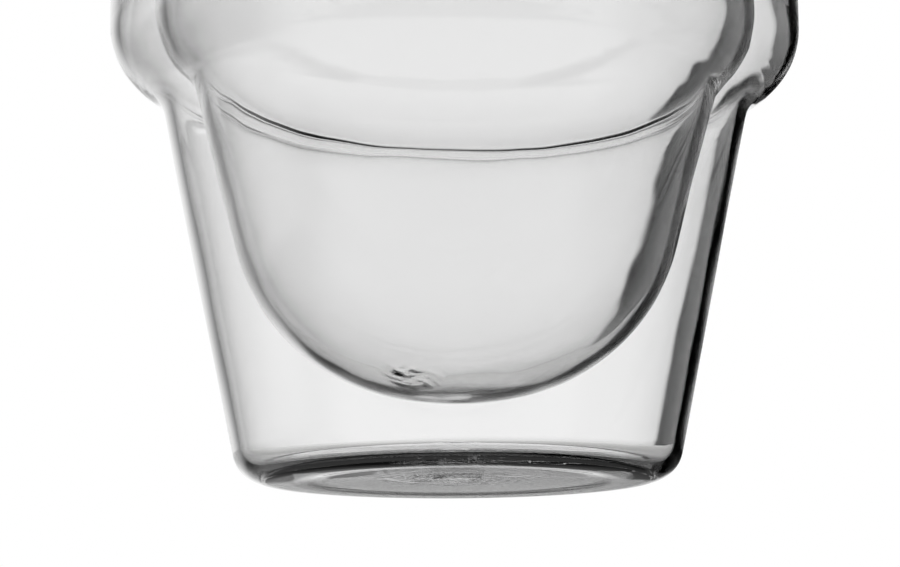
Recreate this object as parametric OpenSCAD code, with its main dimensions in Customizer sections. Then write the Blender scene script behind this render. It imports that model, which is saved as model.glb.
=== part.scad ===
// Double walled glass cup: an outer wall and an inner bowl of clear glass, fused at the rim,
// with a closed bottom and sealed air between the walls. It stands on +Z, with its centre
// line on the Z axis and its resting face at z = 0. Every size is in millimetres.

/* [Cup] */
// Height from the table to the top of the rim
cup_h = 82; // [78:0.5:100]
// Diameter over the collar, the widest place
collar_d = 87.6; // [75:0.1:100]

/* [Outer wall] */
// Thickness of the outer wall
shell_wall = 1.25; // [0.9:0.05:1.6]
// How far the waist lies within the collar's side
waist_step = 6.3; // [5.5:0.1:7]
// How far the body's slope draws in from the waist down to the table
foot_taper = 10.2; // [7:0.1:12]
// Height of the waist, where the collar begins
waist_z = 49.2; // [45:0.1:52]
// Radius of the turn from the waist out to the collar's side
collar_turn_r = 7.8; // [7.5:0.1:11]
// Radius of the turn from the collar's side in to the rim
collar_top_r = 15; // [12:0.5:18]
// Radius of the hollow in the waist's corner
waist_fillet_r = 6; // [2:0.1:8]
// Radius of the heel between the body and the bottom
heel_r = 4; // [2.6:0.1:4.4]

/* [Bowl] */
// Thickness of the bowl's wall
bowl_wall = 1.4; // [0.9:0.05:1.8]
// Width of the air space between the two collars
collar_gap = 4.3; // [3.8:0.05:5]
// Width of the air space between the waist and the bowl's shoulder
waist_gap = 3; // [2.4:0.1:3.6]
// Height of the bowl's shoulder above the waist
shoulder_lift = 0.8; // [0.2:0.1:2.5]
// How far the bowl's slope draws in from its shoulder to where its bottom begins to round
round_taper = 5.3; // [4:0.1:7]
// Height of the rounded bottom
bowl_round_h = 19.7; // [16:0.1:26]
// Fullness of the rounded bottom: 2 is an ellipse, and more is squarer
bowl_fullness = 2.41; // [2:0.01:3]
// Height of the bowl's lowest point above the table
bowl_z = 10.2; // [7:0.1:14]
// Radius of the turn from the shoulder out to the bowl's collar
bowl_turn_r = 14.3; // [12:0.1:15.5]
// Radius of the hollow in the shoulder's corner
shoulder_fillet_r = 2.5; // [1:0.1:6]

/* [Rim] */
// How far the rim's crown, where lips meet it, lies within the collar's side
rim_step = 5.2; // [4.8:0.1:5.8]
// Height of the ring of fused glass at the mouth
seam_h = 2; // [1.8:0.1:3]
// Radius of the rim's outer rounding
rim_out_r = 1.5; // [1:0.1:2]
// Radius of the rim's inner rounding
rim_in_r = 1.3; // [1:0.1:1.8]

/* [Bottom] */
// Height of the bottom's upper face above the table, where it meets the wall's hollow
base_wall = 1.3; // [1.1:0.05:2.5]
// Radius of the hollow between the bottom and the inner side of the outer wall
hollow_r = 3; // [1.5:0.1:4.5]
// How far the upper face rises in the middle
floor_rise = 0.9; // [0.3:0.05:1.5]
// How far the resting ring lies within the bottom's edge
rest_in = 1.6; // [1:0.1:3]
// Angle at which the underside rises from the resting ring to the bottom's edge
flank_lean = 4.5; // [2:0.5:10]
// Width of the resting ring
rest_w = 1.5; // [1:0.1:3]
// Width of the step from the resting ring up to the recess within it
step_run = 5.5; // [2:0.1:7]
// Height of that step
step_rise = 0.3; // [0.1:0.05:0.5]
// How far the underside rises across the recess
rise_h = 0.12; // [0.05:0.01:0.4]
// Diameter of the vent in the middle, closed by its seal
vent_d = 6; // [3:0.5:10]
// Height of the seal's bead above the bottom's upper face
bead_h = 0.4; // [0.2:0.1:2]

/* [Hidden] */
$fn = 180;
glass = [0.86, 0.89, 0.9, 0.35];
// Steps that each turn of an outline is drawn in
turn_steps = 12;
round_steps = 24;
// Share of a turn by which a direction is taken on either side of a point
nudge_share = 0.001;

// Diameters that follow the collar's, and the height of the bowl's shoulder
waist_d = collar_d - 2 * waist_step;
foot_d = waist_d - 2 * foot_taper;
rim_d = collar_d - 2 * rim_step;
bowl_collar_d = collar_d - 2 * (shell_wall + collar_gap);
shoulder_d = waist_d - 2 * (shell_wall + waist_gap);
bowl_round_d = shoulder_d - 2 * round_taper;
shoulder_z = waist_z + shoulder_lift;

// Places on the outer wall's outline
slope_lean = atan((waist_d - foot_d) / 2 / waist_z);
heel_z = rest_in * tan(flank_lean / 2) + heel_r * cos(flank_lean);
heel_c = [foot_d / 2 + heel_z * tan(slope_lean) - heel_r / cos(slope_lean), heel_z];
hollow_z = base_wall + hollow_r;
hollow_c = [foot_d / 2 + hollow_z * tan(slope_lean) - (shell_wall + hollow_r) / cos(slope_lean), hollow_z];
collar_in = collar_d / 2 - collar_turn_r;
collar_c = [collar_in, waist_z + sqrt(collar_turn_r ^ 2 - (waist_d / 2 - collar_in) ^ 2)];
waist_c = corner_centre([foot_d / 2, 0], slope_lean, waist_fillet_r, collar_c, collar_turn_r);
top_in = collar_d / 2 - collar_top_r;
rim_lean = acos((rim_d / 2 - top_in) / (collar_top_r - rim_out_r));
top_c = [top_in, cup_h - rim_out_r - (collar_top_r - rim_out_r) * sin(rim_lean)];

// Places on the bowl's outline
seam_z = cup_h - seam_h;
mouth_r = rim_d / 2 - rim_in_r;
round_z = bowl_z + bowl_round_h;
bowl_lean = atan((shoulder_d - bowl_round_d) / 2 / (shoulder_z - round_z));
bowl_in = bowl_collar_d / 2 - bowl_turn_r;
bowl_c = [bowl_in, shoulder_z + sqrt(bowl_turn_r ^ 2 - (shoulder_d / 2 - bowl_in) ^ 2)];
shoulder_c = corner_centre([bowl_round_d / 2, round_z], bowl_lean, shoulder_fillet_r, bowl_c, bowl_turn_r);
mouth_reach = [mouth_r, seam_z] - bowl_c;
mouth_lean = atan2(mouth_reach[0], mouth_reach[1]) - asin((bowl_turn_r - bowl_wall) / norm(mouth_reach));

// Places on the bottom
edge_r = heel_c[0] + heel_r * sin(flank_lean);
flank_r = rest_in / sin(flank_lean);
rest_r = edge_r - rest_in;
step_r = (step_run ^ 2 + step_rise ^ 2) / 4 / step_rise;
step_lean = 2 * atan(step_rise / step_run);
dome_edge = rest_r - rest_w - step_run;
dome_r = (dome_edge ^ 2 + rise_h ^ 2) / 2 / rise_h;
floor_r = (hollow_c[0] ^ 2 + floor_rise ^ 2) / 2 / floor_rise;
vent_r = vent_d / 2;

// Points along an arc round a centre, with both ends
function arc(centre, r, from, to, steps) =
    [for (i = [0 : steps]) let (a = from + (to - from) * i / steps) centre + r * [cos(a), sin(a)]];

// Angle of the direction from one point to another
function heading(a, b) = atan2(b[1] - a[1], b[0] - a[0]);

// Centre of a fillet that lies outside both a slope that leans out from the upright through
// a point and the lower side of a round
function corner_centre(point, lean, fillet_r, round_c, round_r) =
    let (along = [sin(lean), cos(lean)],
         start = point + fillet_r * [cos(lean), -sin(lean)],
         back = start - round_c,
         run = -back * along - sqrt((back * along) ^ 2 - back * back + (round_r + fillet_r) ^ 2))
    start + run * along;

// Outline of the outer wall from above the heel to the seam, set in by a distance
function shell_line(inset) = concat(
    arc(waist_c, waist_fillet_r + inset, 180 - slope_lean, heading(waist_c, collar_c), turn_steps),
    arc(collar_c, collar_turn_r - inset, heading(collar_c, waist_c), 0, turn_steps),
    arc(top_c, collar_top_r - inset, 0, asin((seam_z - top_c[1]) / (collar_top_r - inset)), turn_steps));

// Point on the bowl's rounded bottom, from its lowest point at 0 to the start of its slope at 1
function bottom_point(share) =
    let (up = 1 - cos(90 * share) ^ (2 / bowl_fullness),
         out = sin(90 * share) ^ (2 / bowl_fullness))
    [(bowl_round_d / 2 - (1 - up) * bowl_round_h * tan(bowl_lean)) * out, bowl_z + up * bowl_round_h];

// The same point, set in square to the surface
function bottom_inset(share, inset) =
    let (way = bottom_point(min(share + nudge_share, 1)) - bottom_point(max(share - nudge_share, 0)))
    bottom_point(share) + inset * [-way[1], way[0]] / norm(way);

// Outline of the bowl from its lowest point to the seam, set in by a distance
function bowl_line(inset) = concat(
    [[0, bowl_z + inset]],
    [for (i = [1 : round_steps]) bottom_inset(i / round_steps, inset)],
    arc(shoulder_c, shoulder_fillet_r + inset, 180 - bowl_lean, heading(shoulder_c, bowl_c), turn_steps),
    arc(bowl_c, bowl_turn_r - inset, heading(bowl_c, shoulder_c), -mouth_lean, turn_steps),
    [[mouth_r + (bowl_wall - inset) / cos(mouth_lean), seam_z]]);

// Points along the shallow dome of the underside between two distances from the middle
function dome_line(from, to) =
    [for (i = [0 : turn_steps]) let (r = from + (to - from) * i / turn_steps)
        [r, step_rise + rise_h - dome_r + sqrt(dome_r ^ 2 - r ^ 2)]];

// Points along the bottom's upper face between two distances from the middle
function floor_line(from, to) =
    [for (i = [0 : turn_steps]) let (r = from + (to - from) * i / turn_steps)
        [r, base_wall + floor_rise - floor_r + sqrt(floor_r ^ 2 - r ^ 2)]];

function reversed(points) = [for (i = [len(points) - 1 : -1 : 0]) points[i]];

// Outer wall, open at the bottom's edge and at the seam
module outer_shell() {
    color(glass) rotate_extrude() polygon(concat(
        arc(heel_c, heel_r, flank_lean - 90, -slope_lean, turn_steps),
        shell_line(0),
        reversed(shell_line(shell_wall)),
        arc(hollow_c, hollow_r, -slope_lean, -90, turn_steps)));
}

// Inner bowl, open at the seam
module inner_bowl() {
    color(glass) rotate_extrude() polygon(concat(bowl_line(0), reversed(bowl_line(bowl_wall))));
}

// Fused ring at the mouth, whose flat lower face closes the air space
module rim_seam() {
    start = asin((seam_z - top_c[1]) / collar_top_r);
    color(glass) rotate_extrude() polygon(concat(
        arc(top_c, collar_top_r, start, rim_lean, turn_steps),
        arc([rim_d / 2, cup_h - rim_out_r], rim_out_r, rim_lean, 90, turn_steps),
        arc([rim_d / 2, cup_h - rim_in_r], rim_in_r, 90, 180, turn_steps),
        [[mouth_r, seam_z]]));
}

// Closed bottom with its resting ring and the vent's opening
module base_disc() {
    color(glass) rotate_extrude() polygon(concat(
        dome_line(vent_r, dome_edge),
        arc([dome_edge, step_rise - step_r], step_r, 90, 90 - step_lean, turn_steps),
        arc([rest_r - rest_w, step_r], step_r, -90 - step_lean, -90, turn_steps),
        arc([rest_r, flank_r], flank_r, -90, flank_lean - 90, turn_steps),
        floor_line(hollow_c[0], vent_r)));
}

// Drop of glass that fills the vent, with a low bead on its upper face
module vent_seal() {
    top_z = floor_line(vent_r, vent_r)[0][1];
    bead_r = (vent_r ^ 2 + bead_h ^ 2) / 2 / bead_h;
    bead_half = asin(vent_r / bead_r);
    color(glass) rotate_extrude() polygon(concat(
        dome_line(0, vent_r),
        arc([0, top_z + bead_h - bead_r], bead_r, 90 - bead_half, 90, turn_steps)));
}

outer_shell();
inner_bowl();
rim_seam();
base_disc();
vent_seal();
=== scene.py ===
import bpy
from math import acos, asin, atan, atan2, cos, exp, hypot, pi, radians, sin, sqrt, tan
from mathutils import Euler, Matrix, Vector


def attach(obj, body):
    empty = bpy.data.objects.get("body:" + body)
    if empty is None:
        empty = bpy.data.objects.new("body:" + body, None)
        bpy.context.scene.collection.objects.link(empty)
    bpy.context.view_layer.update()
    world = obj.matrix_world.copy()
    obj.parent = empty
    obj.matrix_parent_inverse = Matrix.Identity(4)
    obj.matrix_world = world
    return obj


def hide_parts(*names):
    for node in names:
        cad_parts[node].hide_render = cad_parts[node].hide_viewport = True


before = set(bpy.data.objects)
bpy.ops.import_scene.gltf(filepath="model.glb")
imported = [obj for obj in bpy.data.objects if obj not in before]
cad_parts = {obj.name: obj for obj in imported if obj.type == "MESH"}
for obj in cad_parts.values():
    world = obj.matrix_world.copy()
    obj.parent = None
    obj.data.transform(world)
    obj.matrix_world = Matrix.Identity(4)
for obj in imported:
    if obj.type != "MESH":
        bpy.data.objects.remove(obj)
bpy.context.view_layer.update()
scene = bpy.context.scene
mm = 0.001


# sRGB hex colour as linear light
def linear(hexColour):
    channels = [int(hexColour[i:i + 2], 16) / 255 for i in (1, 3, 5)]
    return tuple(c / 12.92 if c <= 0.04045 else ((c + 0.055) / 1.055) ** 2.4 for c in channels) + (1.0,)


# Adds one node: settings are its own properties, inputs go by name or number to values or to other sockets
def addNode(tree, kind, inputs=None, **settings):
    node = tree.nodes.new(kind)
    for name, value in settings.items():
        setattr(node, name, value)
    for key, value in (inputs or {}).items():
        if isinstance(value, bpy.types.NodeSocket):
            tree.links.new(value, node.inputs[key])
        else:
            node.inputs[key].default_value = value
    return node


def emptyMaterial(name):
    material = bpy.data.materials.new(name)
    material.use_nodes = True
    material.node_tree.nodes.clear()
    return material, material.node_tree


# Outlines are lists of (radius, height) in millimetres, from the cup's centre line and the table
def arc(centre, radius, start, end, count):
    turns = [start + (end - start) * i / count for i in range(count + 1)]
    return [(centre[0] + radius * cos(turn), centre[1] + radius * sin(turn)) for turn in turns]


# Points inside a straight stretch
def between(a, b, count):
    return [(a[0] + (b[0] - a[0]) * i / count, a[1] + (b[1] - a[1]) * i / count) for i in range(1, count)]


def headingOf(a, b):
    return atan2(b[1] - a[1], b[0] - a[0])


# Centre of the fillet between a slope that leans out through a point and the round above it
def cornerCentre(point, lean, filletR, roundC, roundR):
    along = Vector((sin(lean), cos(lean)))
    start = Vector(point) + filletR * Vector((cos(lean), -sin(lean)))
    back = start - Vector(roundC)
    run = -back.dot(along) - sqrt(back.dot(along) ** 2 - back.dot(back) + (roundR + filletR) ** 2)
    return tuple(start + run * along)


def smooth(value):
    value = max(0.0, min(1.0, value))
    return value * value * (3 - 2 * value)


# Sizes in millimetres and angles in degrees. Wave and ripple are the depth and length of the blown glass's
# unevenness, always into the glass: long waves, and fine rings round the cup from its turning in the flame
outerWall = {
    "thickness": 1.25,
    "collarWidth": 87.6,
    "footWidth": 54.6,
    "waistWidth": 75.0,
    "waistHeight": 49.2,
    "collarTurn": 7.8,
    "collarTop": 15.0,
    "waistHollow": 6.0,
    "heel": 4.0,
    "wave": (0.08, 15.0),
    "ripple": (0.008, 4.0),
    "waistWave": 1.0,  # more unevenness at the waist, as a share
    "waistWaveReach": 2.5,
    "askew": (0.7, 1.2),  # tilt of the neck, down to the right and to the back
}
rim = {"crownWidth": 77.2, "height": 82.0, "seam": 2.0, "outerRound": 1.5, "innerRound": 1.3}
bowl = {
    "thickness": 1.4,
    "collarWidth": 76.5,
    "shoulderWidth": 66.5,
    "shoulderHeight": 50.0,
    "roundWidth": 55.9,
    "roundHeight": 19.7,
    "fullness": 2.41,
    "lowest": 10.2,
    "collarTurn": 14.3,
    "shoulderHollow": 2.5,
    "wave": (0.12, 13.0),
    "ripple": (0.008, 4.0),
    "askew": (1.4, 2.0),
    # Swirl where the bowl was closed. Twist is in turns, stretch says how many times finer its ridges are
    # across than along, and grain how many of them lie within its reach
    "mark": {"place": (-5.6, -11.0, 11.6), "reach": 4.6, "depth": 2.0, "twist": 0.2,
             "stretch": 2.5, "grain": 1.2, "turn": -20.0},
}
bottom = {
    "thickness": 1.3,
    "hollow": 3.0,
    "floorRise": 0.9,
    "ringIn": 1.6,
    "flankLean": 4.5,
    "ringWidth": 1.5,
    "stepRun": 5.5,
    "stepRise": 0.3,
    "rise": 0.12,
    # Swirl round the vent, which runs on over its seal
    "mark": {"place": (0.0, 0.0, 0.5), "reach": 13.5, "depth": 0.9, "twist": 0.7,
             "stretch": 2.5, "grain": 2.5, "turn": 15.0},
}
seal = {"width": 6.0, "bead": 0.4}
# What a piece has where it says nothing else
stillGlass = {
    "wave": (0.0, 1.0),
    "ripple": (0.0, 1.0),
    "askew": (0.0, 0.0),
    "mark": {"place": (0.0, 0.0, 0.0), "reach": 1.0, "depth": 0.0, "twist": 0.0,
             "stretch": 1.0, "grain": 1.0, "turn": 0.0},
}
# Stretches that each part of an outline is drawn with
steps = {"turn": 18, "slope": 34, "round": 84, "top": 20, "dome": 44, "bead": 60}

# Places that follow from the sizes
seamHeight = rim["height"] - rim["seam"]
slopeLean = atan((outerWall["waistWidth"] - outerWall["footWidth"]) / 2 / outerWall["waistHeight"])
flankLean = radians(bottom["flankLean"])
heelHeight = bottom["ringIn"] * tan(flankLean / 2) + outerWall["heel"] * cos(flankLean)
heelC = (outerWall["footWidth"] / 2 + heelHeight * tan(slopeLean) - outerWall["heel"] / cos(slopeLean),
         heelHeight)
hollowHeight = bottom["thickness"] + bottom["hollow"]
hollowC = (outerWall["footWidth"] / 2 + hollowHeight * tan(slopeLean)
           - (outerWall["thickness"] + bottom["hollow"]) / cos(slopeLean), hollowHeight)
collarIn = outerWall["collarWidth"] / 2 - outerWall["collarTurn"]
collarC = (collarIn, outerWall["waistHeight"]
           + sqrt(outerWall["collarTurn"] ** 2 - (outerWall["waistWidth"] / 2 - collarIn) ** 2))
waistC = cornerCentre((outerWall["footWidth"] / 2, 0), slopeLean, outerWall["waistHollow"],
                      collarC, outerWall["collarTurn"])
topIn = outerWall["collarWidth"] / 2 - outerWall["collarTop"]
toCrown = outerWall["collarTop"] - rim["outerRound"]
rimLean = acos((rim["crownWidth"] / 2 - topIn) / toCrown)
topC = (topIn, rim["height"] - rim["outerRound"] - toCrown * sin(rimLean))
mouthR = rim["crownWidth"] / 2 - rim["innerRound"]
roundZ = bowl["lowest"] + bowl["roundHeight"]
bowlLean = atan((bowl["shoulderWidth"] - bowl["roundWidth"]) / 2 / (bowl["shoulderHeight"] - roundZ))
bowlIn = bowl["collarWidth"] / 2 - bowl["collarTurn"]
bowlC = (bowlIn, bowl["shoulderHeight"]
         + sqrt(bowl["collarTurn"] ** 2 - (bowl["shoulderWidth"] / 2 - bowlIn) ** 2))
shoulderC = cornerCentre((bowl["roundWidth"] / 2, roundZ), bowlLean, bowl["shoulderHollow"],
                         bowlC, bowl["collarTurn"])
toMouth = (mouthR - bowlC[0], seamHeight - bowlC[1])
mouthLean = atan2(*toMouth) - asin((bowl["collarTurn"] - bowl["thickness"]) / hypot(*toMouth))
edgeR = heelC[0] + outerWall["heel"] * sin(flankLean)
restR = edgeR - bottom["ringIn"]
flankR = bottom["ringIn"] / sin(flankLean)
domeEdge = restR - bottom["ringWidth"] - bottom["stepRun"]
stepR = (bottom["stepRun"] ** 2 + bottom["stepRise"] ** 2) / 4 / bottom["stepRise"]
stepLean = 2 * atan(bottom["stepRise"] / bottom["stepRun"])
domeTop = bottom["stepRise"] + bottom["rise"]
domeR = (domeEdge ** 2 + bottom["rise"] ** 2) / 2 / bottom["rise"]
floorR = (hollowC[0] ** 2 + bottom["floorRise"] ** 2) / 2 / bottom["floorRise"]
ventR = seal["width"] / 2


# Outer wall from the bottom's edge to the seam, set in by a distance, with its heel or hollow
def shellLine(inset):
    if inset:
        heel = arc(hollowC, bottom["hollow"], -pi / 2, -slopeLean, steps["turn"])
    else:
        heel = arc(heelC, outerWall["heel"], flankLean - pi / 2, -slopeLean, steps["turn"])
    waist = arc(waistC, outerWall["waistHollow"] + inset, pi - slopeLean, headingOf(waistC, collarC),
                steps["turn"])
    turn = arc(collarC, outerWall["collarTurn"] - inset, headingOf(collarC, waistC), 0, steps["turn"])
    topR = outerWall["collarTop"] - inset
    top = arc(topC, topR, 0, asin((seamHeight - topC[1]) / topR), steps["turn"])
    return (heel + between(heel[-1], waist[0], steps["slope"]) + waist + turn[1:]
            + between(turn[-1], top[0], steps["top"]) + top)


# Point on the full round of the bowl's bottom, from its lowest point at 0 to its wall at 1
def roundPoint(share):
    share = max(min(share, 1), 0)
    up = 1 - max(cos(pi / 2 * share), 0) ** (2 / bowl["fullness"])
    out = sin(pi / 2 * share) ** (2 / bowl["fullness"])
    return Vector(((bowl["roundWidth"] / 2 - (1 - up) * bowl["roundHeight"] * tan(bowlLean)) * out,
                   bowl["lowest"] + up * bowl["roundHeight"]))


# Bowl from its lowest point to the seam, set in by a distance
def bowlLine(inset):
    nudge = 0.001  # share of the round, to either side, that gives its direction
    line = [(0.0, bowl["lowest"] + inset)]
    for i in range(1, steps["round"] + 1):
        share = i / steps["round"]
        way = (roundPoint(share + nudge) - roundPoint(share - nudge)).normalized()
        line.append(tuple(roundPoint(share) + inset * Vector((-way.y, way.x))))
    hollow = arc(shoulderC, bowl["shoulderHollow"] + inset, pi - bowlLean,
                 headingOf(shoulderC, bowlC), steps["turn"])
    turn = arc(bowlC, bowl["collarTurn"] - inset, headingOf(bowlC, shoulderC), -mouthLean, steps["turn"])
    end = (mouthR + (bowl["thickness"] - inset) / cos(mouthLean), seamHeight)
    return (line + between(line[-1], hollow[0], steps["slope"]) + hollow + turn[1:]
            + between(turn[-1], end, steps["top"]) + [end])


# Rise under the bottom, and its upper face, between two radii
def domeLine(start, end):
    radii = [start + (end - start) * i / steps["dome"] for i in range(steps["dome"] + 1)]
    return [(r, domeTop - domeR + sqrt(domeR ** 2 - r ** 2)) for r in radii]


def floorLine(start, end):
    radii = [start + (end - start) * i / steps["dome"] for i in range(steps["dome"] + 1)]
    top = bottom["thickness"] + bottom["floorRise"]
    return [(r, top - floorR + sqrt(floorR ** 2 - r ** 2)) for r in radii]


# Softens the outer wall's outline, so that its bends set in gradually as those of worked glass do. The line
# is cut into even steps, smoothed in rounds and thinned to the longest step or the widest turn. Its ends stay
softening = {"step": 0.1, "rounds": 60, "longest": 1.3, "turn": 3.0}


def soften(line):
    lengths = [0.0]
    for start, end in zip(line, line[1:]):
        lengths.append(lengths[-1] + hypot(end[0] - start[0], end[1] - start[1]))
    count = int(lengths[-1] / softening["step"])
    even = []
    k = 0
    for i in range(count + 1):
        at = lengths[-1] * i / count
        while k < len(line) - 2 and lengths[k + 1] < at:
            k += 1
        share = (at - lengths[k]) / (lengths[k + 1] - lengths[k])
        even.append([line[k][n] + (line[k + 1][n] - line[k][n]) * share for n in (0, 1)])
    for _ in range(softening["rounds"]):
        inner = [[(even[i - 1][n] + 2 * even[i][n] + even[i + 1][n]) / 4 for n in (0, 1)]
                 for i in range(1, count)]
        even = [even[0]] + inner + [even[-1]]
    kept = [even[0]]
    heading = headingOf(even[0], even[1])
    for i in range(1, count):
        way = headingOf(even[i], even[i + 1])
        run = hypot(even[i][0] - kept[-1][0], even[i][1] - kept[-1][1])
        if run > softening["longest"] or abs(way - heading) > radians(softening["turn"]):
            kept.append(even[i])
            heading = way
    return [tuple(point) for point in kept + [even[-1]]]


# Glass spun round the centre line, all pieces by one tree. The outline goes once round a piece's section,
# and its points carry three values: fused is 1 on faces that meet a neighbour, push is the share of the
# unevenness, and marked is 1 where the swirl lies
spin = {
    "segments": 224,
    "pathRadius": 30 * mm,
    "merge": 0.002 * mm,
    "sharpEdge": 40.0,
    "seed": 4.0,
    "waveDetail": 2.0,
    "rippleDetail": 1.0,
    "rippleRound": 0.12,  # how fast ripples change round the cup, as a share of their change upwards
    "swirlDetail": 3.0,
    "swirlBend": 0.6,
    "swirlUpright": 0.3,  # how fast a swirl's ridges change upwards, as a share of their change along
    "fade": 5.0,  # height over which the unevenness dies away towards a seam
    "neckRise": (36.0, 49.0),  # heights between which the neck's tilt sets in
    "neckFall": (78.0, 60.0),  # and those between which it ends, from above
}
fusedShare = 0.95  # a face counts as fused when all its points do
noiseMiddle = 0.5


def spunTree():
    tree = bpy.data.node_groups.new("spunGlass", "GeometryNodeTree")
    face = tree.interface
    face.new_socket("Outline", in_out="INPUT", socket_type="NodeSocketGeometry")
    for name, kind in (("Segments", "Int"), ("Path Radius", "Float"), ("Seed", "Float"),
                       ("Wave Depth", "Float"), ("Wave Size", "Float"),
                       ("Ripple Depth", "Float"), ("Ripple Size", "Float"),
                       ("Mark Place", "Vector"), ("Mark Reach", "Float"), ("Mark Depth", "Float"),
                       ("Mark Twist", "Float"), ("Mark Stretch", "Float"), ("Mark Grain", "Float"),
                       ("Mark Turn", "Float"), ("Askew", "Vector"),
                       ("Glass", "Material"), ("Fused Face", "Material")):
        face.new_socket(name, in_out="INPUT", socket_type="NodeSocket" + kind)
    face.new_socket("Solid", in_out="OUTPUT", socket_type="NodeSocketGeometry")
    given = addNode(tree, "NodeGroupInput").outputs
    path = addNode(tree, "GeometryNodeCurvePrimitiveCircle",
                   {"Resolution": given["Segments"], "Radius": given["Path Radius"]}, mode="RADIUS")
    upright = addNode(tree, "GeometryNodeSetCurveNormal", {"Curve": path.outputs["Curve"]}, mode="Z_UP")
    outline = addNode(tree, "GeometryNodeMeshToCurve", {"Mesh": given["Outline"]})
    swept = addNode(tree, "GeometryNodeCurveToMesh",
                    {"Curve": upright.outputs[0], "Profile Curve": outline.outputs[0]})
    outward = addNode(tree, "GeometryNodeFlipFaces", {"Mesh": swept.outputs[0]})
    merged = addNode(tree, "GeometryNodeMergeByDistance",
                     {"Geometry": outward.outputs[0], "Distance": spin["merge"]})

    # Unevenness: long waves and fine ripples
    place = addNode(tree, "GeometryNodeInputPosition").outputs[0]
    waveScale = addNode(tree, "ShaderNodeMath", {0: 1.0, 1: given["Wave Size"]}, operation="DIVIDE")
    wave = addNode(tree, "ShaderNodeTexNoise",
                   {"Vector": place, "W": given["Seed"], "Scale": waveScale.outputs[0],
                    "Detail": spin["waveDetail"]}, noise_dimensions="4D")
    drawnRound = addNode(tree, "ShaderNodeVectorMath",
                         {0: place, 1: (spin["rippleRound"], spin["rippleRound"], 1.0)}, operation="MULTIPLY")
    rippleScale = addNode(tree, "ShaderNodeMath", {0: 1.0, 1: given["Ripple Size"]}, operation="DIVIDE")
    ripple = addNode(tree, "ShaderNodeTexNoise",
                     {"Vector": drawnRound.outputs[0], "W": given["Seed"], "Scale": rippleScale.outputs[0],
                      "Detail": spin["rippleDetail"]}, noise_dimensions="4D")
    waveDepth = addNode(tree, "ShaderNodeMath", {0: wave.outputs[0], 1: given["Wave Depth"]},
                        operation="MULTIPLY")
    depth = addNode(tree, "ShaderNodeMath",
                    {0: ripple.outputs[0], 1: given["Ripple Depth"], 2: waveDepth.outputs[0]},
                    operation="MULTIPLY_ADD")
    push = addNode(tree, "GeometryNodeInputNamedAttribute", {"Name": "push"}, data_type="FLOAT")
    uneven = addNode(tree, "ShaderNodeMath", {0: depth.outputs[0], 1: push.outputs[0]}, operation="MULTIPLY")

    # Swirl: ridges round a centre, turned further the nearer they lie to it
    off = addNode(tree, "ShaderNodeVectorMath", {0: place, 1: given["Mark Place"]}, operation="SUBTRACT")
    shareOut = addNode(tree, "ShaderNodeMath", {0: 1.0, 1: given["Mark Reach"]}, operation="DIVIDE")
    local = addNode(tree, "ShaderNodeVectorMath", {0: off.outputs[0], "Scale": shareOut.outputs[0]},
                    operation="SCALE")
    far = addNode(tree, "ShaderNodeVectorMath", {0: local.outputs[0]}, operation="LENGTH")
    near = addNode(tree, "ShaderNodeMapRange",
                   {"Value": far.outputs["Value"], "From Min": 1.0, "From Max": 0.0},
                   interpolation_type="SMOOTHSTEP")
    angle = addNode(tree, "ShaderNodeMath",
                    {0: near.outputs[0], 1: given["Mark Twist"], 2: given["Mark Turn"]},
                    operation="MULTIPLY_ADD")
    turned = addNode(tree, "ShaderNodeVectorRotate", {"Vector": local.outputs[0], "Angle": angle.outputs[0]},
                     rotation_type="Z_AXIS")
    across = addNode(tree, "ShaderNodeCombineXYZ",
                     {0: 1.0, 1: given["Mark Stretch"], 2: spin["swirlUpright"]})
    drawn = addNode(tree, "ShaderNodeVectorMath", {0: turned.outputs[0], 1: across.outputs[0]},
                    operation="MULTIPLY")
    grain = addNode(tree, "ShaderNodeTexNoise",
                    {"Vector": drawn.outputs[0], "W": given["Seed"], "Scale": given["Mark Grain"],
                     "Detail": spin["swirlDetail"], "Distortion": spin["swirlBend"]}, noise_dimensions="4D")
    middle = addNode(tree, "ShaderNodeMath", {0: grain.outputs[0], 1: noiseMiddle}, operation="SUBTRACT")
    ridge = addNode(tree, "ShaderNodeMath", {0: middle.outputs[0]}, operation="ABSOLUTE")
    marked = addNode(tree, "GeometryNodeInputNamedAttribute", {"Name": "marked"}, data_type="FLOAT")
    here = addNode(tree, "ShaderNodeMath", {0: marked.outputs[0], 1: near.outputs[0]}, operation="MULTIPLY")
    ridgeDepth = addNode(tree, "ShaderNodeMath", {0: ridge.outputs[0], 1: given["Mark Depth"]},
                         operation="MULTIPLY")
    into = addNode(tree, "ShaderNodeMath",
                   {0: ridgeDepth.outputs[0], 1: here.outputs[0], 2: uneven.outputs[0]},
                   operation="MULTIPLY_ADD")
    inward = addNode(tree, "ShaderNodeMath", {0: into.outputs[0], 1: -1.0}, operation="MULTIPLY")
    normal = addNode(tree, "GeometryNodeInputNormal")
    shift = addNode(tree, "ShaderNodeVectorMath", {0: normal.outputs[0], "Scale": inward.outputs[0]},
                    operation="SCALE")

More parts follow.
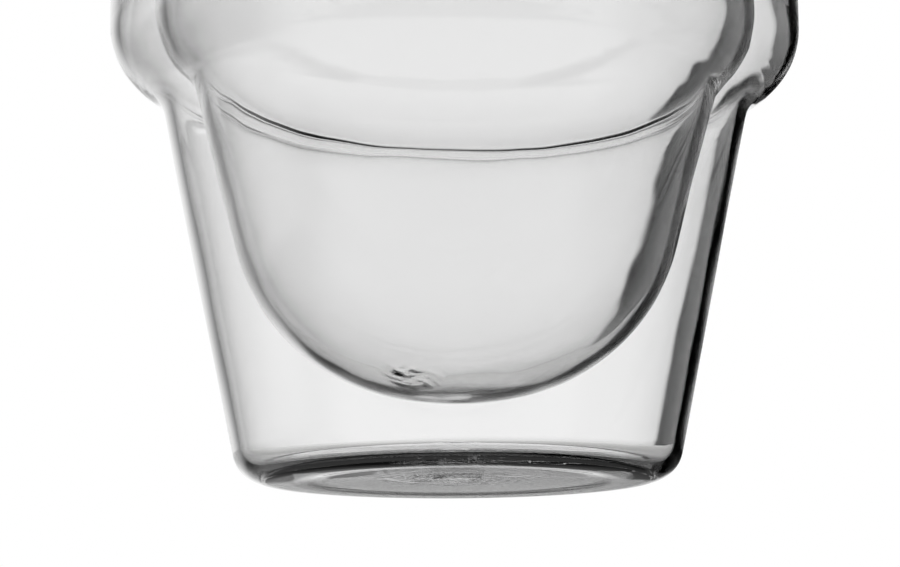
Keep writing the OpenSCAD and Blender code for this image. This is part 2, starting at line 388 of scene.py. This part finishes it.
    # The neck sits a little askew: it drops along one direction, most at its middle
    height = addNode(tree, "ShaderNodeSeparateXYZ", {0: place}).outputs["Z"]
    first, last = spin["neckRise"]
    setIn = addNode(tree, "ShaderNodeMapRange",
                    {"Value": height, "From Min": first * mm, "From Max": last * mm},
                    interpolation_type="SMOOTHSTEP")
    first, last = spin["neckFall"]
    dieAway = addNode(tree, "ShaderNodeMapRange",
                      {"Value": height, "From Min": first * mm, "From Max": last * mm},
                      interpolation_type="SMOOTHSTEP")
    along = addNode(tree, "ShaderNodeVectorMath", {0: place, 1: given["Askew"]}, operation="DOT_PRODUCT")
    bell = addNode(tree, "ShaderNodeMath", {0: setIn.outputs[0], 1: dieAway.outputs[0]}, operation="MULTIPLY")
    drop = addNode(tree, "ShaderNodeMath", {0: along.outputs["Value"], 1: bell.outputs[0]},
                   operation="MULTIPLY")
    down = addNode(tree, "ShaderNodeMath", {0: drop.outputs[0], 1: -1.0}, operation="MULTIPLY")
    sunk = addNode(tree, "ShaderNodeCombineXYZ", {"Z": down.outputs[0]})
    moved = addNode(tree, "ShaderNodeVectorMath", {0: shift.outputs[0], 1: sunk.outputs[0]}, operation="ADD")
    shaped = addNode(tree, "GeometryNodeSetPosition",
                     {"Geometry": merged.outputs[0], "Offset": moved.outputs[0]})

    # Glass all over, and the fused faces in their own material
    real = addNode(tree, "GeometryNodeRealizeInstances", {"Geometry": shaped.outputs[0]})
    glassed = addNode(tree, "GeometryNodeSetMaterial",
                      {"Geometry": real.outputs[0], "Material": given["Glass"]})
    mark = addNode(tree, "GeometryNodeInputNamedAttribute", {"Name": "fused"}, data_type="FLOAT")
    onFace = addNode(tree, "GeometryNodeFieldOnDomain", {0: mark.outputs[0]},
                     data_type="FLOAT", domain="FACE")
    isFused = addNode(tree, "FunctionNodeCompare", {0: onFace.outputs[0], 1: fusedShare},
                      data_type="FLOAT", operation="GREATER_THAN")
    joined = addNode(tree, "GeometryNodeSetMaterial",
                     {"Geometry": glassed.outputs[0], "Selection": isFused.outputs[0],
                      "Material": given["Fused Face"]})
    addNode(tree, "NodeGroupOutput", {0: joined.outputs[0]})
    return tree


# Whether two points of an outline stay two when the mesh is merged
def apart(a, b):
    return hypot(a[0] - b[0], a[1] - b[1]) > spin["merge"] / mm


# Outline as a mesh of edges. Its points come as (radius, height, fused, push, marked)
def outlineMesh(name, outline):
    kept = [outline[0]]
    for point in outline[1:]:
        if apart(point, kept[-1]):
            kept.append(point)
    if not apart(kept[0], kept[-1]):
        kept.pop()
    edges = [(i, i + 1) for i in range(len(kept) - 1)]
    if kept[-1][0] > 0:  # an outline that starts and ends on the centre line stays open there
        edges.append((len(kept) - 1, 0))
    mesh = bpy.data.meshes.new(name + "Outline")
    mesh.from_pydata([(point[0] * mm - spin["pathRadius"], -point[1] * mm, 0) for point in kept], edges, [])
    for place, attribute in ((2, "fused"), (3, "push"), (4, "marked")):
        values = mesh.attributes.new(attribute, "FLOAT", "POINT").data
        for i, point in enumerate(kept):
            values[i].value = point[place]
    return mesh


def spinPiece(name, outline, facts, node, materials, tree):
    maker = bpy.data.objects.new(name + "Maker", outlineMesh(name, outline))
    scene.collection.objects.link(maker)
    modifier = maker.modifiers.new("spin", "NODES")
    modifier.node_group = tree
    facts = {**stillGlass, **facts}
    mark = facts["mark"]
    values = {
        "Segments": spin["segments"],
        "Path Radius": spin["pathRadius"],
        "Seed": spin["seed"],
        "Wave Depth": facts["wave"][0] * mm,
        "Wave Size": facts["wave"][1] * mm,
        "Ripple Depth": facts["ripple"][0] * mm,
        "Ripple Size": facts["ripple"][1] * mm,
        "Mark Place": [c * mm for c in mark["place"]],
        "Mark Reach": mark["reach"] * mm,
        "Mark Depth": mark["depth"] * mm,
        "Mark Twist": mark["twist"] * 2 * pi,
        "Mark Stretch": mark["stretch"],
        "Mark Grain": mark["grain"],
        "Mark Turn": radians(mark["turn"]),
        "Askew": [tan(radians(tilt)) for tilt in facts["askew"]] + [0],
        "Glass": materials[0],
        "Fused Face": materials[1],
    }
    sockets = {item.name: item.identifier for item in tree.interface.items_tree if item.in_out == "INPUT"}
    for socket, value in values.items():
        modifier[sockets[socket]] = value
    solid = bpy.data.meshes.new_from_object(maker.evaluated_get(bpy.context.evaluated_depsgraph_get()))
    bpy.data.objects.remove(maker)
    solid.name = name
    solid.set_sharp_from_angle(angle=radians(spin["sharpEdge"]))
    piece = bpy.data.objects.new(name, solid)
    scene.collection.objects.link(piece)
    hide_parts(node)
    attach(piece, "root")
    print("spun", name, "with", len(solid.polygons), "faces")


# Colourless borosilicate glass. The eye gets bent light and dark edges from its index of refraction, faint
# streaks from a slow bump, tiny seeds where melt bubbles lie at the surface, with their shade painted as grey
# specks in the glass's colour, and only a faint shadow
glassLook = {
    "tint": "#fdfdfd",
    "index": 1.473,
    "streakSize": 5.0,
    "streakHeight": 0.0015,
    "streakRound": 0.35,  # how fast streaks change round the cup, as a share of their change upwards
    "streakDetail": 3.0,
    "streakBend": 0.4,
    "seedSpacing": 4.2,
    "seedRadius": 0.10,
    # Grey painted into the glass's colour at the seeds: painted shade for the light their bubbles bend away
    "seedPaintedShade": "#9b9b9b",
    "shadow": "#dcdcdc",
}


def clearGlass():
    material, tree = emptyMaterial("blownBorosilicateGlass")
    place = addNode(tree, "ShaderNodeTexCoord").outputs["Object"]
    drawnRound = addNode(tree, "ShaderNodeVectorMath",
                         {0: place, 1: (glassLook["streakRound"], glassLook["streakRound"], 1.0)},
                         operation="MULTIPLY")
    streak = addNode(tree, "ShaderNodeTexNoise",
                     {"Vector": drawnRound.outputs[0], "Scale": 1 / (glassLook["streakSize"] * mm),
                      "Detail": glassLook["streakDetail"], "Distortion": glassLook["streakBend"]})
    seeds = addNode(tree, "ShaderNodeTexVoronoi",
                    {"Vector": place, "Scale": 1 / (glassLook["seedSpacing"] * mm)}, feature="F1")
    seedEdge = glassLook["seedRadius"] / glassLook["seedSpacing"]
    inSeed = addNode(tree, "ShaderNodeMapRange",
                     {"Value": seeds.outputs["Distance"], "From Min": seedEdge, "From Max": seedEdge / 2})
    height = addNode(tree, "ShaderNodeMath",
                     {0: streak.outputs[0], 1: glassLook["streakHeight"] * mm}, operation="MULTIPLY")
    bump = addNode(tree, "ShaderNodeBump", {"Height": height.outputs[0], "Distance": 1.0, "Strength": 1.0})
    # Painted shade: grey specks at the seeds stand in for the dark look melt bubbles get by bending light
    colour = addNode(tree, "ShaderNodeMix",
                     {"Factor": inSeed.outputs[0], 6: linear(glassLook["tint"]),
                      7: linear(glassLook["seedPaintedShade"])},
                     data_type="RGBA")
    glassShader = addNode(tree, "ShaderNodeBsdfPrincipled",
                          {"Base Color": colour.outputs[2], "Roughness": 0.0, "IOR": glassLook["index"],
                           "Transmission Weight": 1.0, "Normal": bump.outputs[0]})
    light = addNode(tree, "ShaderNodeLightPath")
    soft = addNode(tree, "ShaderNodeMath",
                   {0: light.outputs["Is Shadow Ray"], 1: light.outputs["Is Diffuse Ray"]},
                   operation="MAXIMUM")
    faint = addNode(tree, "ShaderNodeBsdfTransparent", {"Color": linear(glassLook["shadow"])})
    surface = addNode(tree, "ShaderNodeMixShader", {0: soft.outputs[0], 1: glassShader.outputs[0],
                                                    2: faint.outputs[0]})
    addNode(tree, "ShaderNodeOutputMaterial", {"Surface": surface.outputs[0]})
    return material


# Faces inside the glass where two pieces are fused: the eye sees nothing there, and light runs on unbent
def fusedFaceMaterial():
    material, tree = emptyMaterial("fusedGlassFace")
    shader = addNode(tree, "ShaderNodeBsdfTransparent")
    addNode(tree, "ShaderNodeOutputMaterial", {"Surface": shader.outputs[0]})
    return material


# Points without unevenness, inside or outside the swirl
def plainLine(line, marked=0):
    return [(r, z, 0, 0, marked) for r, z in line]


# Points with the share of unevenness: none near the joints, more at the waist
def unevenLine(line, lowest, facts):
    made = []
    for r, z in line:
        push = smooth((z - lowest) / spin["fade"]) * smooth((seamHeight - z) / spin["fade"])
        if "waistWave" in facts:
            push *= 1 + facts["waistWave"] * exp(-((z - facts["waistHeight"]) / facts["waistWaveReach"]) ** 2)
        made.append((r, z, 0, push, 0))
    return made


# Marks the first and last points of a stretch as fused to a neighbour
def fuse(line, first=True, last=True):
    made = list(line)
    for place in ([0] if first else []) + ([-1] if last else []):
        made[place] = made[place][:2] + (1,) + made[place][3:]
    return made


def wallSection(outer, inner):
    return fuse(unevenLine(outer, 0, outerWall)) + fuse(plainLine(inner))[::-1]


def bowlSection(outer, inner):
    drinkSide = unevenLine(inner, bowl["lowest"] - spin["fade"], bowl)
    return fuse(plainLine(outer, 1), first=False) + fuse(drinkSide, first=False)[::-1]


def rimSection(wallInner, bowlOuter, bowlInner):
    start = asin((seamHeight - topC[1]) / outerWall["collarTop"])
    outerC = (rim["crownWidth"] / 2, rim["height"] - rim["outerRound"])
    innerC = (rim["crownWidth"] / 2, rim["height"] - rim["innerRound"])
    crown = (arc(topC, outerWall["collarTop"], start, rimLean, steps["turn"])
             + arc(outerC, rim["outerRound"], rimLean, pi / 2, steps["turn"])[1:]
             + arc(innerC, rim["innerRound"], pi / 2, pi, steps["turn"])[1:])
    gapMiddle = ((wallInner[0] + bowlOuter[0]) / 2, seamHeight)
    return (fuse(plainLine(crown), last=False) + fuse(plainLine([bowlInner, bowlOuter]))
            + plainLine([gapMiddle]) + fuse(plainLine([wallInner]), last=False))


def bottomSection(over):
    upperC = (domeEdge, bottom["stepRise"] - stepR)
    lowerC = (restR - bottom["ringWidth"], stepR)
    under = (domeLine(ventR, domeEdge)
             + arc(upperC, stepR, pi / 2, pi / 2 - stepLean, steps["turn"])[1:]
             + arc(lowerC, stepR, -pi / 2 - stepLean, -pi / 2, steps["turn"])[1:]
             + arc((restR, flankR), flankR, -pi / 2, flankLean - pi / 2, steps["turn"]))
    return fuse(plainLine(under, 1)) + fuse(plainLine(over))


def sealSection(ventEdge):
    beadTop = ventEdge[1] + seal["bead"]
    beadR = (ventR ** 2 + seal["bead"] ** 2) / 2 / seal["bead"]
    half = asin(ventR / beadR)
    bead = arc((0, beadTop - beadR), beadR, pi / 2 - half, pi / 2, steps["bead"])[:-1] + [(0.0, beadTop)]
    return fuse(plainLine(domeLine(0, ventR), 1), first=False) + fuse(plainLine(bead), last=False)


def buildCup():
    materials = (clearGlass(), fusedFaceMaterial())
    tree = spunTree()
    wallOuter = soften(shellLine(0))
    wallInner = soften(shellLine(outerWall["thickness"]))
    bowlOuter = bowlLine(0)
    bowlInner = bowlLine(bowl["thickness"])
    over = floorLine(hollowC[0], ventR)
    crown = rimSection(wallInner[-1], bowlOuter[-1], bowlInner[-1])
    spinPiece("outerWallGlass", wallSection(wallOuter, wallInner), outerWall, "outer_shell", materials, tree)
    spinPiece("innerBowlGlass", bowlSection(bowlOuter, bowlInner), bowl, "inner_bowl", materials, tree)
    spinPiece("rimGlass", crown, rim, "rim_seam", materials, tree)
    spinPiece("bottomGlass", bottomSection(over), bottom, "base_disc", materials, tree)
    spinPiece("sealGlass", sealSection(over[-1]), bottom, "vent_seal", materials, tree)


buildCup()

# Camera below the resting face, looking up into the bowl, with the foot's middle where the photograph has it.
# Lengths are in millimetres, but the clip is in metres
view = {
    "distance": 320.0,
    "below": 29.0,
    "pixelsPerMm": 8.05,
    "photoWidth": 900,
    "photoHeight": 567,
    "footPixel": (456.5, 482.6),
    "roll": 0.42,
    "sensorWidth": 36,
    "clip": (0.01, 20),
}


def placeCamera():
    data = bpy.data.cameras.new("photoView")
    camera = bpy.data.objects.new("photoView", data)
    scene.collection.objects.link(camera)
    focalPixels = view["distance"] * view["pixelsPerMm"]
    data.sensor_width = view["sensorWidth"]
    data.lens = focalPixels / view["photoWidth"] * data.sensor_width
    data.clip_start, data.clip_end = view["clip"]
    footRise = atan(view["below"] / view["distance"])
    pitch = footRise + atan((view["footPixel"][1] - view["photoHeight"] / 2) / focalPixels)
    yaw = atan((view["footPixel"][0] - view["photoWidth"] / 2) / focalPixels)
    camera.location = (0, -view["distance"] * mm, -view["below"] * mm)
    turned = Euler((pi / 2 + pitch, 0, yaw)).to_matrix() @ Euler((0, 0, -radians(view["roll"]))).to_matrix()
    camera.rotation_euler = turned.to_euler()
    scene.camera = camera
    print("camera stands", view["distance"], "mm away and", view["below"], "mm below the resting face")


placeCamera()

# Studio: a white field behind the cup that fades to the left and up and down, and ends sharply on the right
studio = {
    # Direction to the right of straight back, in degrees, and the field's light there
    "field": [(-110, 0.05), (-95, 0.6), (-60, 0.6), (-45, 0.35), (-36, 0.16), (-32, 0.2), (-23.5, 0.55),
              (-13.5, 0.88), (-7, 1.0), (11.2, 1.0), (12.2, 0.03), (20, 0.01), (60, 0.01)],
    # Panels for the sides and the back: middle, half width and soft edge in degrees, and light
    "panels": [(135, 9, 6, 0.28), (180, 60, 35, 1.0)],
    # Height above the horizon, in degrees, and the light there. The lower edge slants: from each first place
    # on, towards the second, it drops by the third
    "rise": [(-30, 0.02), (-8, 0.06), (-5, 0.1), (-0.5, 0.8), (2, 1.0), (24, 1.0), (45, 0.45), (80, 0.15)],
    "slants": [(0, -25, 9), (9.5, 12.5, -18)],
    # Between the first two heights the field widens, until directions count as the third's share of theirs
    "spread": (7, 15, 0.82),
    "strength": 0.98,
    "ambient": 0.8,
    # Floor and key lamp in metres
    "floorRadius": 4.0,
    "floorSides": 48,
    "floorFade": (1.2, 3.6),
    "floorColour": "#f1f1f0",
    "floorRoughness": 0.85,
    "floorShine": 0.1,
    "key": {"place": (-0.5, -0.7, 1.3), "size": 0.8, "watts": 8.0},
}


# Colour ramp from a list of (place, light) with the places spread over 0 to 1
def rampOf(tree, value, table):
    first, last = table[0][0], table[-1][0]
    share = addNode(tree, "ShaderNodeMapRange",
                    {"Value": value, "From Min": radians(first), "From Max": radians(last)})
    ramp = addNode(tree, "ShaderNodeValToRGB", {0: share.outputs[0]})
    stops = ramp.color_ramp.elements
    while len(stops) < len(table):
        stops.new(1.0)
    for stop, (place, light) in zip(stops, table):
        stop.position = (place - first) / (last - first)
        stop.color = (light, light, light, 1)
    return ramp.outputs[0]


def lightStudio():
    world = bpy.data.worlds.new("brightField")
    scene.world = world
    world.use_nodes = True
    tree = world.node_tree
    tree.nodes.clear()
    coords = addNode(tree, "ShaderNodeTexCoord")
    split = addNode(tree, "ShaderNodeSeparateXYZ", {0: coords.outputs["Generated"]})
    angle = addNode(tree, "ShaderNodeMath", {0: split.outputs["X"], 1: split.outputs["Y"]},
                    operation="ARCTAN2")
    height = addNode(tree, "ShaderNodeMath", {0: split.outputs["Z"]}, operation="ARCSINE")
    low, high, closer = studio["spread"]
    spread = addNode(tree, "ShaderNodeMapRange",
                     {"Value": height.outputs[0], "From Min": radians(low), "From Max": radians(high),
                      "To Min": 1.0, "To Max": closer})
    drawnIn = addNode(tree, "ShaderNodeMath", {0: angle.outputs[0], 1: spread.outputs[0]},
                      operation="MULTIPLY")
    across = rampOf(tree, drawnIn.outputs[0], studio["field"])
    above = height.outputs[0]
    for first, second, fall in studio["slants"]:
        slant = addNode(tree, "ShaderNodeMapRange",
                        {"Value": drawnIn.outputs[0], "From Min": radians(first), "From Max": radians(second),
                         "To Max": radians(fall)})
        above = addNode(tree, "ShaderNodeMath", {0: above, 1: slant.outputs[0]}, operation="ADD").outputs[0]
    lit = addNode(tree, "ShaderNodeMath", {0: across, 1: rampOf(tree, above, studio["rise"])},
                  operation="MULTIPLY").outputs[0]
    level = rampOf(tree, height.outputs[0], studio["rise"])
    for middle, half, soft, panelLight in studio["panels"]:
        off = addNode(tree, "ShaderNodeMath", {0: angle.outputs[0], 1: radians(middle)}, operation="SUBTRACT")
        wrapped = addNode(tree, "ShaderNodeMath", {0: off.outputs[0], 1: pi, 2: -pi}, operation="WRAP")
        away = addNode(tree, "ShaderNodeMath", {0: wrapped.outputs[0]}, operation="ABSOLUTE")
        panel = addNode(tree, "ShaderNodeMapRange",
                        {"Value": away.outputs[0], "From Min": radians(half + soft),
                         "From Max": radians(half), "To Max": panelLight}, interpolation_type="SMOOTHSTEP")
        shown = addNode(tree, "ShaderNodeMath", {0: panel.outputs[0], 1: level}, operation="MULTIPLY")
        lit = addNode(tree, "ShaderNodeMath", {0: lit, 1: shown.outputs[0]}, operation="MAXIMUM").outputs[0]
    field = addNode(tree, "ShaderNodeMath", {0: lit, 1: studio["strength"]}, operation="MULTIPLY")
    light = addNode(tree, "ShaderNodeLightPath")
    throughGlass = addNode(tree, "ShaderNodeMath", {0: light.outputs["Is Transmission Ray"],
                                                    1: light.outputs["Is Glossy Ray"]}, operation="MAXIMUM")
    plain = addNode(tree, "ShaderNodeMapRange",
                    {"Value": light.outputs["Is Camera Ray"], "To Min": studio["ambient"]})
    seen = addNode(tree, "ShaderNodeMix",
                   {0: throughGlass.outputs[0], 2: plain.outputs[0], 3: field.outputs[0]}, data_type="FLOAT")
    sky = addNode(tree, "ShaderNodeBackground", {"Color": seen.outputs[0], "Strength": 1.0})
    addNode(tree, "ShaderNodeOutputWorld", {"Surface": sky.outputs[0]})
    print("lit the studio with", len(studio["panels"]), "panels beside the field")


# Pale floor with a soft outer edge. It shows only from above, because the photograph's view is from below it
def layFloor():
    sides = studio["floorSides"]
    edge = arc((0, 0), studio["floorRadius"], 0, 2 * pi, sides)[:-1]
    mesh = bpy.data.meshes.new("paleFloor")
    mesh.from_pydata([(x, y, 0) for x, y in edge], [], [list(range(sides))])
    material, tree = emptyMaterial("paleFloorPaint")
    coords = addNode(tree, "ShaderNodeTexCoord")
    away = addNode(tree, "ShaderNodeVectorMath", {0: coords.outputs["Object"]}, operation="LENGTH")
    near, far = studio["floorFade"]
    fade = addNode(tree, "ShaderNodeMapRange",
                   {"Value": away.outputs["Value"], "From Min": near, "From Max": far},
                   interpolation_type="SMOOTHSTEP")
    side = addNode(tree, "ShaderNodeNewGeometry")
    light = addNode(tree, "ShaderNodeLightPath")
    mirrored = addNode(tree, "ShaderNodeMath", {0: light.outputs["Glossy Depth"], 1: 0.0},
                       operation="GREATER_THAN")
    hidden = addNode(tree, "ShaderNodeMath", {0: mirrored.outputs[0], 1: side.outputs["Backfacing"]},
                     operation="MAXIMUM")
    clear = addNode(tree, "ShaderNodeMath", {0: fade.outputs[0], 1: hidden.outputs[0]}, operation="MAXIMUM")
    paint = addNode(tree, "ShaderNodeBsdfPrincipled",
                    {"Base Color": linear(studio["floorColour"]), "Roughness": studio["floorRoughness"],
                     "Specular IOR Level": studio["floorShine"]})
    gone = addNode(tree, "ShaderNodeBsdfTransparent")
    surface = addNode(tree, "ShaderNodeMixShader",
                      {0: clear.outputs[0], 1: paint.outputs[0], 2: gone.outputs[0]})
    addNode(tree, "ShaderNodeOutputMaterial", {"Surface": surface.outputs[0]})
    mesh.materials.append(material)
    floor = bpy.data.objects.new("paleFloor", mesh)
    scene.collection.objects.link(floor)


def hangKey():
    key = studio["key"]
    data = bpy.data.lights.new("softKey", "AREA")
    data.size, data.energy = key["size"], key["watts"]
    lamp = bpy.data.objects.new("softKey", data)
    scene.collection.objects.link(lamp)
    lamp.location = key["place"]
    lamp.visible_glossy = lamp.visible_transmission = False
    lamp.rotation_euler = (-Vector(key["place"])).to_track_quat("-Z", "Y").to_euler()


layFloor()
hangKey()
lightStudio()
scene.view_settings.view_transform = "Standard"
# Light passes four walls, and is mirrored between them, before it reaches the eye
scene.cycles.max_bounces = 32
scene.cycles.transmission_bounces = 32
scene.cycles.glossy_bounces = 16
scene.cycles.transparent_max_bounces = 32
